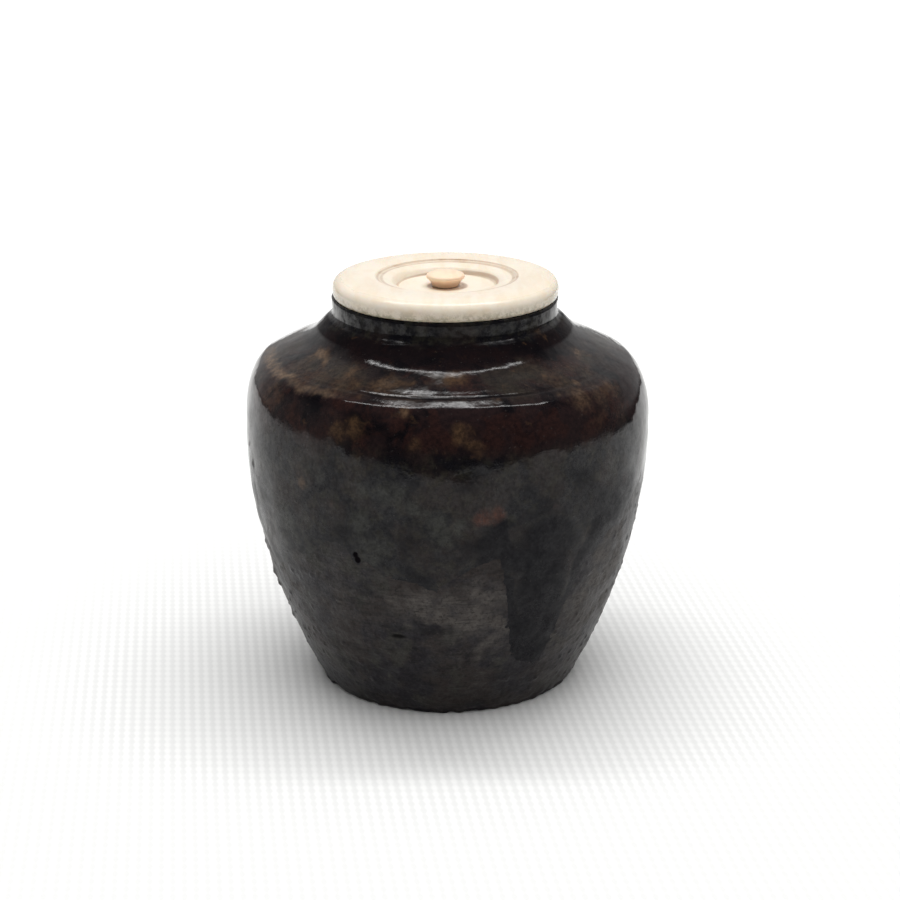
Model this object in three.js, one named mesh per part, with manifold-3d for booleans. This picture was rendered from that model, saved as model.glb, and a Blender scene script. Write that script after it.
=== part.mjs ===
// Lidded tea caddy: a thrown stoneware jar with a high shoulder and a short neck, an iron glaze
// coat that runs down its front, and a turned lid with a sunken well, a knob and a gold lining.
// Millimetres, +Z up. The origin is the middle of the flat base, and the front faces -Y.
import * as THREE from 'three';
import { mergeVertices } from 'three/addons/utils/BufferGeometryUtils.js';
import Module from 'manifold-3d';

// Jar
const SIDES = 48;
const BASE_RADIUS = 24.8;
const BASE_ROUNDING = 0.6;
const BELLY_RADIUS = 38.0;
const BELLY_HEIGHT = 48.5;
const SHOULDER_RADIUS = 33.2;
const SHOULDER_HEIGHT = 63.1;
const FILLET_RADIUS = 26.5;
const FILLET_HEIGHT = 66.6;
const NECK_RADIUS = 20.5;
const NECK_HEIGHT = 71.6;
const LIP_RADIUS = 21.25;
const LIP_HEIGHT = 74.0;
const MOUTH_RADIUS = 18.2;
const WALL = 3.0;
const FLOOR = 4.2;
const FOOT_TOP = 17.6;
const SHOULDER_BOTTOM = 62.4;
const PARTING = 0.1;

// Glaze coat
const GLAZE = 0.4;
const GLAZE_GAP = 0.05;
const GLAZE_INSIDE_DEPTH = 3.0;
const GLAZE_EDGE_HEIGHT = 32.7;
const RUN_ANGLE = -1.07;
const RUN_LENGTH = 22.8;
const RUN_HALF_ANGLE = 0.186;

// Lid
const LID_SIDES = 48;
const LID_BOTTOM = LIP_HEIGHT + 0.3;
const LID_RADIUS = 21.05;
const LID_RIM_HEIGHT = 76.3;
const LID_CROWN_HEIGHT = 77.85;
const LID_CROWN_RADIUS = 17.0;
const BEVEL_OUTER_RADIUS = 13.15;
const BEVEL_INNER_RADIUS = 12.2;
const BEVEL_DEPTH = 0.42;
const WELL_RADIUS = 9.5;
const WELL_EDGE_HEIGHT = 77.0;
const WELL_FLOOR_HEIGHT = 75.7;
const FLANGE_RADIUS = 17.1;
const FLANGE_DEPTH = 2.2;
const PEG_RADIUS = 1.3;
const PEG_LENGTH = 1.3;
const PEG_CLEARANCE = 0.1;
const KNOB_SIDES = 32;
const KNOB_FOOT_RADIUS = 2.5;
const KNOB_RADIUS = 3.6;
const KNOB_HEIGHT = 2.65;
const LINING_THICKNESS = 0.3;
const LINING_GAP = 0.1;
const LINING_RADIUS = FLANGE_RADIUS - 0.3;

const stoneware = new THREE.MeshStandardMaterial({ color: 0x5e564e, roughness: 0.8, metalness: 0 });
const ironGlaze = new THREE.MeshStandardMaterial({ color: 0x2c1d18, roughness: 0.2, metalness: 0 });
const ivory = new THREE.MeshStandardMaterial({ color: 0xe9dcc0, roughness: 0.35, metalness: 0 });
const darkIvory = new THREE.MeshStandardMaterial({ color: 0xd2ab7c, roughness: 0.35, metalness: 0 });
const goldLeaf = new THREE.MeshStandardMaterial({ color: 0xc9a24a, roughness: 0.35, metalness: 1 });

// The outer wall from the base edge up to just under the lip, moved in by "inset" along its normal.
function outerWall(inset) {
  const lower = new THREE.CubicBezierCurve(
    new THREE.Vector2(BASE_RADIUS, 0),
    new THREE.Vector2(32.6, 13.8),
    new THREE.Vector2(BELLY_RADIUS, 32.4),
    new THREE.Vector2(BELLY_RADIUS, BELLY_HEIGHT)
  );
  const upper = new THREE.CubicBezierCurve(
    new THREE.Vector2(BELLY_RADIUS, BELLY_HEIGHT),
    new THREE.Vector2(BELLY_RADIUS, 57.6),
    new THREE.Vector2(37.0, 60.6),
    new THREE.Vector2(SHOULDER_RADIUS, SHOULDER_HEIGHT)
  );
  const slope = new THREE.CubicBezierCurve(
    new THREE.Vector2(SHOULDER_RADIUS, SHOULDER_HEIGHT),
    new THREE.Vector2(31.5, 64.2),
    new THREE.Vector2(29.0, 65.4),
    new THREE.Vector2(FILLET_RADIUS, FILLET_HEIGHT)
  );
  const fillet = new THREE.CubicBezierCurve(
    new THREE.Vector2(FILLET_RADIUS, FILLET_HEIGHT),
    new THREE.Vector2(23.6, 68.0),
    new THREE.Vector2(NECK_RADIUS, 69.2),
    new THREE.Vector2(NECK_RADIUS, NECK_HEIGHT)
  );
  const points = [];
  for (const [curve, steps] of [[lower, 6], [upper, 5], [slope, 2], [fillet, 3]]) {
    for (let i = points.length === 0 ? 0 : 1; i <= steps; i += 1) {
      const at = curve.getPoint(i / steps);
      const along = curve.getTangent(i / steps);
      points.push(new THREE.Vector2(at.x - along.y * inset, at.y + along.x * inset));
    }
  }
  return points;
}

// The rolled lip, from its underside over the top and down into the mouth by "depth".
function lip(inset, depth) {
  const outer = new THREE.Vector2(LIP_RADIUS - inset, 73.2);
  const top = LIP_HEIGHT - inset;
  const bore = MOUTH_RADIUS + inset;
  return [
    new THREE.Vector2(NECK_RADIUS + 0.2 - inset, 72.3),
    outer,
    new THREE.Vector2(LIP_RADIUS - 0.5 - inset / 2, top - 0.1),
    new THREE.Vector2(19.8, top),
    new THREE.Vector2(bore + 0.4, top - 0.2),
    new THREE.Vector2(bore, top - 0.8),
    new THREE.Vector2(bore, LIP_HEIGHT - depth)
  ];
}

// The clay's outside up to the lip and down into the mouth. It lies lower by the thickness of the coat.
function clayOutside() {
  const under = GLAZE + GLAZE_GAP;
  const wall = outerWall(under);
  wall[0].set(BASE_RADIUS, BASE_ROUNDING);
  return [...wall, ...lip(under, GLAZE_INSIDE_DEPTH)];
}

// The clay's inside from under the neck down to the floor.
function clayInside() {
  return [
    new THREE.Vector2(MOUTH_RADIUS + 0.1, 70.4),
    new THREE.Vector2(21.5, 66.2),
    new THREE.Vector2(29.5, 62.2),
    new THREE.Vector2(33.2, 58.4),
    new THREE.Vector2(BELLY_RADIUS - WALL - 0.5, 52.0),
    new THREE.Vector2(BELLY_RADIUS - WALL - 0.6, 42.0),
    new THREE.Vector2(32.3, 29.0),
    new THREE.Vector2(28.8, 17.0),
    new THREE.Vector2(24.0, 8.4),
    new THREE.Vector2(19.0, FLOOR + 0.8),
    new THREE.Vector2(12.0, FLOOR)
  ];
}

// The stretch of an outline between two heights, with a point added where it crosses each of them.
function between(outline, low, high) {
  const kept = [];
  outline.forEach((point, i) => {
    const before = outline[Math.max(i - 1, 0)];
    const levels = point.y > before.y ? [low, high] : [high, low];
    for (const level of levels) {
      if ((before.y - level) * (point.y - level) < 0) {
        kept.push(before.clone().lerp(point, (level - before.y) / (point.y - before.y)));
      }
    }
    if (point.y >= low && point.y <= high) {
      kept.push(point.clone());
    }
  });
  return kept;
}

// A closed ring of the clay wall between two heights.
function wallRing(low, high) {
  const ring = [...between(clayOutside(), low, high), ...between(clayInside(), low, high)];
  ring.push(ring[0].clone());
  return ring;
}

// The whole coat before its lower edge is cut: a thin closed shell from inside the mouth to the base.
function coatProfile() {
  const outside = [...outerWall(0), ...lip(0, GLAZE_INSIDE_DEPTH)];
  const inside = [...outerWall(GLAZE), ...lip(GLAZE, GLAZE_INSIDE_DEPTH)];
  return [...outside, ...inside.reverse(), outside[0].clone()];
}

// Height of the coat's lower edge at an angle round the jar: a dip to one side, waves, and one long run.
function glazeEdge(angle) {
  const tilt = 3.5 * Math.sin(angle + 1.57);
  const waves = 1.8 * Math.sin(3 * angle + 1.84) + 3.1 * Math.sin(7 * angle - 2.08);
  const away = Math.atan2(Math.sin(angle - RUN_ANGLE), Math.cos(angle - RUN_ANGLE));
  const run = RUN_LENGTH * Math.exp(-((away / RUN_HALF_ANGLE) ** 4));
  return GLAZE_EDGE_HEIGHT + tilt + waves - run;
}

// A round block whose underside follows the glaze edge. What lies inside it is kept.
function aboveGlazeEdge() {
  const reach = 60;
  const top = 90;
  const sides = 2 * SIDES;
  const positions = [0, 0, GLAZE_EDGE_HEIGHT, 0, 0, top];
  const index = [];
  for (let i = 0; i < sides; i += 1) {
    const angle = (2 * Math.PI * i) / sides;
    positions.push(reach * Math.cos(angle), reach * Math.sin(angle), glazeEdge(angle));
    positions.push(reach * Math.cos(angle), reach * Math.sin(angle), top);
    const low = 2 + 2 * i;
    const nextLow = 2 + 2 * ((i + 1) % sides);
    index.push(0, nextLow, low);
    index.push(1, low + 1, nextLow + 1);
    index.push(low, nextLow, nextLow + 1);
    index.push(low, nextLow + 1, low + 1);
  }
  const geometry = new THREE.BufferGeometry();
  geometry.setAttribute('position', new THREE.Float32BufferAttribute(positions, 3));
  geometry.setIndex(index);
  return geometry;
}

// A lathe profile turned about +Z, with its faces pointing out.
function turned(profile, sides) {
  const geometry = new THREE.LatheGeometry(profile, sides);
  geometry.rotateX(Math.PI / 2);
  return geometry;
}

const wasm = await Module();
wasm.setup();

function solid(geometry) {
  const bare = geometry.clone();
  bare.deleteAttribute('normal');
  bare.deleteAttribute('uv');
  const merged = mergeVertices(bare, 1e-4);
  return new wasm.Manifold(new wasm.Mesh({
    numProp: 3,
    vertProperties: Float32Array.from(merged.attributes.position.array),
    triVerts: Uint32Array.from(merged.index.array)
  }));
}

function geometryOf(manifold) {
  const mesh = manifold.getMesh();
  const geometry = new THREE.BufferGeometry();
  geometry.setAttribute('position', new THREE.BufferAttribute(Float32Array.from(mesh.vertProperties), 3));
  geometry.setIndex(new THREE.BufferAttribute(Uint32Array.from(mesh.triVerts), 1));
  geometry.computeVertexNormals();
  return geometry;
}

// The clay is thrown in one piece. It is parted here into foot, belly and shoulder, a hair apart.
function jarFoot() {
  const profile = [
    new THREE.Vector2(0, 0),
    new THREE.Vector2(BASE_RADIUS - BASE_ROUNDING, 0),
    ...between(clayOutside(), 0, FOOT_TOP),
    ...between(clayInside(), 0, FOOT_TOP),
    new THREE.Vector2(0, FLOOR)
  ];
  return turned(profile, SIDES);
}

function jarBelly() {
  return turned(wallRing(FOOT_TOP + PARTING, SHOULDER_BOTTOM - PARTING), SIDES);
}

function jarShoulder() {
  return turned(wallRing(SHOULDER_BOTTOM, LIP_HEIGHT), SIDES);
}

// Glaze over lip, neck and shoulder, cut along its running edge.
function ironGlazeCoat() {
  return geometryOf(solid(turned(coatProfile(), SIDES)).intersect(solid(aboveGlazeEdge())));
}

// Turned disc: locating flange below, rounded rim, bevelled ring, and a well with a blind hole for the peg.
function lidDisc() {
  const rim = new THREE.QuadraticBezierCurve(
    new THREE.Vector2(LID_RADIUS, LID_RIM_HEIGHT),
    new THREE.Vector2(LID_RADIUS - 0.3, LID_CROWN_HEIGHT - 0.1),
    new THREE.Vector2(LID_CROWN_RADIUS, LID_CROWN_HEIGHT)
  );
  const hole = PEG_RADIUS + PEG_CLEARANCE;
  const holeBottom = WELL_FLOOR_HEIGHT - PEG_LENGTH - PEG_CLEARANCE;
  const profile = [
    new THREE.Vector2(0, LID_BOTTOM - FLANGE_DEPTH),
    new THREE.Vector2(FLANGE_RADIUS - 0.3, LID_BOTTOM - FLANGE_DEPTH),
    new THREE.Vector2(FLANGE_RADIUS, LID_BOTTOM - FLANGE_DEPTH + 0.3),
    new THREE.Vector2(FLANGE_RADIUS, LID_BOTTOM),
    new THREE.Vector2(LID_RADIUS - 0.4, LID_BOTTOM),
    new THREE.Vector2(LID_RADIUS - 0.1, LID_BOTTOM + 0.3),
    ...rim.getPoints(4),
    new THREE.Vector2(BEVEL_OUTER_RADIUS, LID_CROWN_HEIGHT - 0.1),
    new THREE.Vector2(BEVEL_INNER_RADIUS, LID_CROWN_HEIGHT - 0.1 - BEVEL_DEPTH),
    new THREE.Vector2(WELL_RADIUS + 0.3, WELL_EDGE_HEIGHT),
    new THREE.Vector2(WELL_RADIUS, WELL_EDGE_HEIGHT - 0.2),
    new THREE.Vector2(WELL_RADIUS, WELL_FLOOR_HEIGHT),
    new THREE.Vector2(hole, WELL_FLOOR_HEIGHT),
    new THREE.Vector2(hole, holeBottom),
    new THREE.Vector2(0, holeBottom)
  ];
  return turned(profile, LID_SIDES);
}

// Mushroom-shaped knob on its peg.
function lidKnob() {
  const foot = WELL_FLOOR_HEIGHT + PEG_CLEARANCE;
  const top = foot + KNOB_HEIGHT;
  const dome = new THREE.QuadraticBezierCurve(
    new THREE.Vector2(KNOB_RADIUS, foot + 1.75),
    new THREE.Vector2(KNOB_RADIUS - 0.2, top - 0.1),
    new THREE.Vector2(0, top)
  );
  const profile = [
    new THREE.Vector2(0, WELL_FLOOR_HEIGHT - PEG_LENGTH),
    new THREE.Vector2(PEG_RADIUS, WELL_FLOOR_HEIGHT - PEG_LENGTH),
    new THREE.Vector2(PEG_RADIUS, foot),
    new THREE.Vector2(KNOB_FOOT_RADIUS, foot),
    new THREE.Vector2(KNOB_FOOT_RADIUS + 0.2, foot + 0.7),
    ...dome.getPoints(5)
  ];
  return turned(profile, KNOB_SIDES);
}

// Gold leaf on paper, glued under the flange.
function lidGoldLining() {
  const top = LID_BOTTOM - FLANGE_DEPTH - LINING_GAP;
  const profile = [
    new THREE.Vector2(0, top - LINING_THICKNESS),
    new THREE.Vector2(LINING_RADIUS, top - LINING_THICKNESS),
    new THREE.Vector2(LINING_RADIUS, top),
    new THREE.Vector2(0, top)
  ];
  return turned(profile, LID_SIDES);
}

function piece(name, geometry, material) {
  const mesh = new THREE.Mesh(geometry, material);
  mesh.name = name;
  return mesh;
}

const caddy = new THREE.Group();
caddy.add(piece('jar_foot', jarFoot(), stoneware));
caddy.add(piece('jar_belly', jarBelly(), stoneware));
caddy.add(piece('jar_shoulder', jarShoulder(), stoneware));
caddy.add(piece('iron_glaze_coat', ironGlazeCoat(), ironGlaze));
const lid = new THREE.Group();
lid.add(piece('lid_disc', lidDisc(), ivory));
lid.add(piece('lid_knob', lidKnob(), darkIvory));
lid.add(piece('lid_gold_lining', lidGoldLining(), goldLeaf));
caddy.add(lid);

export default caddy;
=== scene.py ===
import math

import bpy
import numpy as np
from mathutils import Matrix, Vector


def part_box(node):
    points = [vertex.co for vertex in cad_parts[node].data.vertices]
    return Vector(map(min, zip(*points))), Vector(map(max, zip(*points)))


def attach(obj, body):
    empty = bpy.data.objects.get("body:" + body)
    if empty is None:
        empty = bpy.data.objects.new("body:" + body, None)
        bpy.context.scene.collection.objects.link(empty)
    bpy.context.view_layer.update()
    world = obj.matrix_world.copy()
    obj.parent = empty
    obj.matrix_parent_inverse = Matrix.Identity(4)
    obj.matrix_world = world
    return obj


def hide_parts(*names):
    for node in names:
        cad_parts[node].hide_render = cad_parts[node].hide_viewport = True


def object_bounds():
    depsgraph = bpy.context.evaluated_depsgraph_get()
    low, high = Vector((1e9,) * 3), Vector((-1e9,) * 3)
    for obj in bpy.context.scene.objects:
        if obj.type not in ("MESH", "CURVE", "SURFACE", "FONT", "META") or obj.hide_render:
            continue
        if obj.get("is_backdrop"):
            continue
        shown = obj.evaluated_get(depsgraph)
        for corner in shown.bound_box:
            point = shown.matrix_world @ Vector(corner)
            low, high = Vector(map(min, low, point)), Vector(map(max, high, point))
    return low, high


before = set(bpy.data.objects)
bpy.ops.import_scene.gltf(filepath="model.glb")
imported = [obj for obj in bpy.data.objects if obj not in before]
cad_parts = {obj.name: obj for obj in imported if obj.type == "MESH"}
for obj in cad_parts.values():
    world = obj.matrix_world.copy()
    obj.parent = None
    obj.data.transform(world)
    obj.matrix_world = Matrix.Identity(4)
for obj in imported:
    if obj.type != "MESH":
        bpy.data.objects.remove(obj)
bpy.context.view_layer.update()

# The camera
# It stands a forearm's length in front of the caddy and a little above it, so the round base shows its
# curve and the lid its top.
MM = 0.001
CAMERA_DISTANCE = 419.25 * MM
CAMERA_PITCH = math.radians(18.3)
CAMERA_AIM = Vector((0.48 * MM, 0.0, 43.5 * MM))
CAMERA_LENS = 88.0
CAMERA_SENSOR = 36.0


def placed(name, data):
    """An object of the scene for a mesh, a lamp or the camera."""
    made = bpy.data.objects.new(name, data)
    bpy.context.scene.collection.objects.link(made)
    return made


camera_data = bpy.data.cameras.new("view_camera")
camera_data.sensor_width = CAMERA_SENSOR
camera_data.lens = CAMERA_LENS
camera_data.clip_start = 10 * MM
camera = placed("view_camera", camera_data)
camera_side = Vector((0.0, -math.cos(CAMERA_PITCH), math.sin(CAMERA_PITCH)))
camera.location = CAMERA_AIM + CAMERA_DISTANCE * camera_side
camera.rotation_euler = (math.pi / 2 - CAMERA_PITCH, 0.0, 0.0)
bpy.context.scene.camera = camera
bpy.context.scene.view_settings.view_transform = "Standard"

# The thrown jar
# A small jar thrown in one piece from iron-rich stoneware clay, cut off the wheel with a string and
# fired. Its bare lower wall is rough and keeps the faint rings of the potter's fingers.
_, glaze_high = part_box("iron_glaze_coat")
# Turns of its outline, as radius and height in millimetres, from the foot up.
BASE = 24.8
FOOT_ROLL = 0.6
BELLY = glaze_high.x / MM
BELLY_HEIGHT = 48.5
SHOULDER = (35.3, 61.5)
SHOULDER_TOP = (34.1, 62.45)
SLOPE = (32.3, 63.4)
FILLET = (26.9, 66.0)
ROOT_LOW = (24.7, 67.45)
ROOT_HIGH = (22.75, 69.45)
NECK = (21.0, 71.1)
LIP_OUTER = 21.15
LIP_ROLL = 0.25
LIP_TOP = glaze_high.z / MM
MOUTH = 18.2
MOUTH_DEPTH = 3.0
CLAY_FLOOR = 4.2
GLAZE_THICKNESS = 0.12
# How closely the mesh follows it: columns round the jar, spacing along the outline in millimetres.
AROUND = 600
FINE = 0.4
COARSE = 1.2


def bezier(start, pull, push, end, count=60):
    t = np.linspace(0.0, 1.0, count)[:, None]
    points = [np.array(p, float) for p in (start, pull, push, end)]
    return (
        (1 - t) ** 3 * points[0]
        + 3 * (1 - t) ** 2 * t * points[1]
        + 3 * (1 - t) * t ** 2 * points[2]
        + t ** 3 * points[3]
    )


def arc(centre, radius, start, end, count=24):
    turn = np.radians(np.linspace(start, end, count))
    return np.c_[centre[0] + radius * np.cos(turn), centre[1] + radius * np.sin(turn)]


def spaced(path, spacing):
    """The same outline with its points evenly spaced."""
    step = np.hypot(*np.diff(path, axis=0).T)
    keep = np.r_[True, step > 1e-6]
    path = path[keep]
    length = np.r_[0.0, np.cumsum(np.hypot(*np.diff(path, axis=0).T))]
    at = np.linspace(0.0, length[-1], max(2, int(round(length[-1] / spacing)) + 1))
    return np.c_[np.interp(at, length, path[:, 0]), np.interp(at, length, path[:, 1])]


def outward(path):
    """Unit normals of an outline that runs up the outside of a turned shape."""
    along = np.gradient(path, axis=0)
    along /= np.hypot(along[:, 0], along[:, 1])[:, None]
    return np.c_[along[:, 1], -along[:, 0]]


def ripple(points, wavelength, seed, waves=28):
    """A smooth chance field of about unit height, with waves of one length in every direction."""
    chance = np.random.default_rng(seed)
    ways = chance.normal(size=(waves, 3))
    ways /= np.linalg.norm(ways, axis=1)[:, None]
    ways *= 2 * math.pi / (wavelength * chance.uniform(0.7, 1.4, (waves, 1)))
    shifts = chance.uniform(0.0, 2 * math.pi, waves)
    field = np.zeros(points.shape[:-1])
    for way, shift in zip(ways, shifts):
        field += np.sin(points @ way + shift)
    return field * math.sqrt(2.0 / waves)


def outer_wall():
    """The jar's outside from the edge of the base up to the neck, over the lip and into the mouth."""
    roll_height = LIP_TOP - LIP_ROLL
    return np.vstack([
        bezier((BASE, FOOT_ROLL), (32.4, 14.2), (BELLY, 32.4), (BELLY, BELLY_HEIGHT), 160),
        bezier((BELLY, BELLY_HEIGHT), (BELLY, 56.4), (37.2, 59.4), SHOULDER),
        bezier(SHOULDER, (34.95, 61.88), (34.6, 62.17), SHOULDER_TOP, 20),
        bezier(SHOULDER_TOP, (33.5, 62.78), (33.0, 63.05), SLOPE, 20),
        bezier(SLOPE, (31.0, 64.05), (28.2, 65.38), FILLET),
        bezier(FILLET, (26.2, 66.33), (25.4, 66.85), ROOT_LOW, 20),
        bezier(ROOT_LOW, (23.95, 68.12), (23.3, 68.85), ROOT_HIGH, 20),
        bezier(ROOT_HIGH, (22.0, 70.25), (21.0, 70.4), NECK, 30),
        bezier(NECK, (21.02, 71.7), (21.06, 72.4), (LIP_OUTER - 0.02, roll_height - 0.1), 20),
        arc((LIP_OUTER - LIP_ROLL, roll_height), LIP_ROLL, 0.0, 90.0),
        arc((MOUTH + LIP_ROLL, roll_height), LIP_ROLL, 90.0, 180.0),
        [(MOUTH, LIP_TOP - MOUTH_DEPTH)],
    ])


# How the wet jar settled, in millimetres: out of round, and leaning to the left from a height up.
UNEVEN = 0.12
LEAN = -0.4
LEAN_FROM = 52.0
LEAN_OVER = 16.0


def settled(points):
    """Moves points as the wet jar moved: a little oval, and leaning to one side above the belly."""
    x, y, z = points[..., 0], points[..., 1], points[..., 2]
    angle = np.arctan2(y, x)
    oval = UNEVEN * np.sin(2 * angle + z / 22.0) + 0.6 * UNEVEN * np.sin(3 * angle + 1.0 - z / 30.0)
    grow = 1.0 + (oval - 1.4 * UNEVEN) / BELLY
    lean = LEAN * np.clip((z - LEAN_FROM) / LEAN_OVER, 0.0, 1.0) ** 2
    off_axis = np.clip(np.hypot(x, y) / 10.0, 0.0, 1.0)
    return np.stack([x * grow + lean * off_axis, y * grow, z], axis=-1)


def around(path, columns=AROUND):
    """Angles and the unrolled grid (rows along the outline, columns round the axis)."""
    angle = np.linspace(0.0, 2 * math.pi, columns, endpoint=False)
    rows_r = path[:, 0][:, None] * np.ones(columns)
    rows_z = path[:, 1][:, None] * np.ones(columns)
    return angle[None, :], rows_r, rows_z


def swept(angle, radius, height):
    return np.stack([radius * np.cos(angle), radius * np.sin(angle), height], axis=-1)


def pushed(angle, radius, height, push, normal):
    """The swept outline with every point moved by push along the outline's normal."""
    out, up = normal[:, 0][:, None], normal[:, 1][:, None]
    return swept(angle, radius + push * out, height + push * up)


def build(name, points, quads, triangles=()):
    """A smooth-shaded mesh object from points in millimetres."""
    mesh = bpy.data.meshes.new(name)
    corners = np.concatenate([np.asarray(quads).ravel(), np.asarray(triangles, int).ravel()])
    sizes = np.r_[np.full(len(quads), 4), np.full(len(triangles), 3)]
    mesh.vertices.add(len(points))
    mesh.vertices.foreach_set("co", (points * MM).astype(np.float32).ravel())
    mesh.loops.add(len(corners))
    mesh.loops.foreach_set("vertex_index", corners.astype(np.int32))
    mesh.polygons.add(len(sizes))
    mesh.polygons.foreach_set("loop_start", np.r_[0, np.cumsum(sizes)[:-1]].astype(np.int32))
    mesh.update(calc_edges=True)
    mesh.validate()
    mesh.shade_smooth()
    return placed(name, mesh)


def ring_quads(rows, columns, first=0):
    i, j = np.meshgrid(np.arange(rows - 1), np.arange(columns), indexing="ij")
    across = (j + 1) % columns
    a = first + i * columns + j
    b = first + i * columns + across
    c = first + (i + 1) * columns + across
    d = first + (i + 1) * columns + j
    return np.stack([a, b, c, d], axis=-1).reshape(-1, 4)


def turned_solid(name, grid):
    """Closes a grid whose first and last rows shrink to a point on the axis."""
    rows, columns = grid.shape[:2]
    inner = grid[1:-1].reshape(-1, 3)
    points = np.vstack([inner, grid[0, 0], grid[-1, 0]])
    start, end = len(inner), len(inner) + 1
    j = np.arange(columns)
    across = (j + 1) % columns
    last = (rows - 3) * columns
    fans = np.vstack([
        np.c_[np.full(columns, start), across, j],
        np.c_[np.full(columns, end), last + j, last + across],
    ])
    return build(name, points, ring_quads(rows - 2, columns), fans)


# Spacing in millimetres of the rings that the potter's fingers left outside and inside.
FINGER_RING = 5.2
INSIDE_RING = 6.5


def wall_relief(angle, radius, height):
    """Finger rings and slow dents that the clay and the glaze on it share, in millimetres."""
    at = swept(angle, radius, height)
    deep = 0.008 + 0.027 * np.clip((38.0 - height) / 12.0, 0.0, 1.0)
    rings = deep * np.sin(height * 2 * math.pi / FINGER_RING + 0.8 * np.sin(angle))
    return rings + 0.05 * ripple(at, 16.0, seed=3) + 0.015 * ripple(at, 7.0, seed=4)


# Where the glaze on the jar ends: its usual height, how often, how far and from where it waves round
# the jar, and the turn, length and half width (in radians) of the run.
EDGE_HEIGHT = 32.7
EDGE_WAVES = [
    (1, 3.5, 1.57), (3, 1.8, 1.84), (7, 3.1, -2.08), (17, 0.5, 0.4), (29, 0.35, 2.0), (47, 0.2, 0.0),
]
RUN_TURN = -1.07
RUN_LENGTH = 22.8
RUN_HALF_TURN = 0.186


def turned_away(angle, turn):
    """The angle from a turn round the jar, between minus and plus half a turn."""
    return np.angle(np.exp(1j * (angle - turn)))


def glaze_edge(angle):
    """Height of the glaze's lower edge at an angle round the jar."""
    level = EDGE_HEIGHT
    for times_round, swing, start in EDGE_WAVES:
        level = level + swing * np.sin(times_round * angle + start)
    return level - RUN_LENGTH * np.exp(-((turned_away(angle, RUN_TURN) / RUN_HALF_TURN) ** 4))


def dents(angle, radius, height, marks):
    """Pits and lumps, each given by turn in degrees, height, width, tallness and depth."""
    total = 0.0 * radius
    for turn, level, wide, tall, deep in marks:
        side = turned_away(angle, math.radians(turn)) * radius
        total = total + deep * np.exp(-((side / wide) ** 2) - ((height - level) / tall) ** 2)
    return total


def clay_roughness(angle, radius, height):
    """The bare wall's own surface: fine turning lines, grit and small lumps."""
    at = swept(angle, radius, height)
    lines = 0.008 * np.sin(height * 2 * math.pi / 1.7 + 1.5 * np.sin(3 * angle))
    lines = lines * (0.5 + 0.5 * np.sin(angle * 5))
    grit = 0.012 * ripple(at, 2.2, seed=8) + 0.012 * ripple(at, 1.1, seed=9, waves=40)
    grit = grit + 0.15 * np.clip(ripple(at, 1.8, seed=10, waves=40) - 1.3, 0.0, 1.2)
    return lines + grit


# A slit, a pit in two lobes and a few lumps.
CLAY_MARKS = [
    (-105.8, 18.3, 1.8, 0.55, -0.3), (-116.6, 34.7, 0.5, 0.55, -0.75),
    (-116, 33.7, 0.6, 0.65, -0.75), (-166, 22, 0.9, 1.3, 0.35), (-168, 19.6, 0.7, 0.7, 0.3),
    (-165, 13.2, 0.7, 0.8, 0.35), (-169, 27.5, 0.6, 0.6, 0.25), (-20, 8.5, 1, 0.6, 0.25),
]


def clay_outline():
    """Base, edge, outside with the lip, and inside, from the axis out and back to the axis."""
    under = np.array([(0.0, 0.25), (BASE - 4.0, 0.12), (BASE - 1.4, 0.0), (BASE - 0.5, 0.0)])
    edge = arc((BASE - FOOT_ROLL, FOOT_ROLL), FOOT_ROLL, -90.0, -10.0, 6)
    wall = spaced(outer_wall(), FINE)
    lift = np.clip((wall[:, 1] - 1.0) / 12.0, 0.0, 1.0)
    wall = wall - outward(wall) * (GLAZE_THICKNESS * lift)[:, None]
    corner = (17.0, CLAY_FLOOR + 0.4)
    inside = np.vstack([
        bezier((18.6, 71.0), (18.6, 66.5), (29.0, 64.5), (33.0, 58.6)),
        bezier((33.0, 58.6), (34.9, 55.6), (34.9, 40.0), (31.6, 26.5)),
        bezier((31.6, 26.5), (29.2, 16.5), (24.5, 6.0), corner),
        bezier(corner, (12.0, CLAY_FLOOR - 0.1), (6.0, CLAY_FLOOR), (0.0, CLAY_FLOOR + 0.2)),
    ])
    return spaced(under, COARSE), edge, wall, spaced(inside, COARSE)


def rows_from(first, count):
    """1 on so many of the outline's rows from the first, 0 on the others."""
    share = np.zeros((len(outline), 1))
    share[first:first + count] = 1.0
    return share


under, edge, wall, inside = clay_outline()
outline = np.vstack([under, edge[1:], wall, inside[1:]])
angle, radius, height = around(outline)
is_under = rows_from(0, len(under))
is_wall = rows_from(len(under) + len(edge) - 1, len(wall))
is_inside = rows_from(len(outline) - len(inside) + 1, len(inside))
low_fade = np.clip(height / 3.0, 0.0, 1.0)
push = is_wall * low_fade * wall_relief(angle, radius, height)
bare = is_wall * np.clip((glaze_edge(angle) + 1.5 - height) / 3.0, 0.1, 1.0)
push = push + bare * low_fade * clay_roughness(angle, radius, height)
push = push + is_wall * dents(angle, radius, height, CLAY_MARKS)
push = push + is_inside * 0.18 * np.sin(height * 2 * math.pi / INSIDE_RING)
# The foot's edge is a little ragged where the wet clay was cut and handled.
RAGGED = 0.10
RAGGED_BELOW = 1.8
at_edge = np.exp(-((height / RAGGED_BELOW) ** 2)) * (radius > BASE - 0.8)
push = push + at_edge * (RAGGED * ripple(swept(angle, radius, height), 2.6, seed=12) - 0.05)
grid = pushed(angle, radius, height, push, outward(outline))
grid[..., 2] = np.maximum(grid[..., 2], 0.0)
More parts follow.
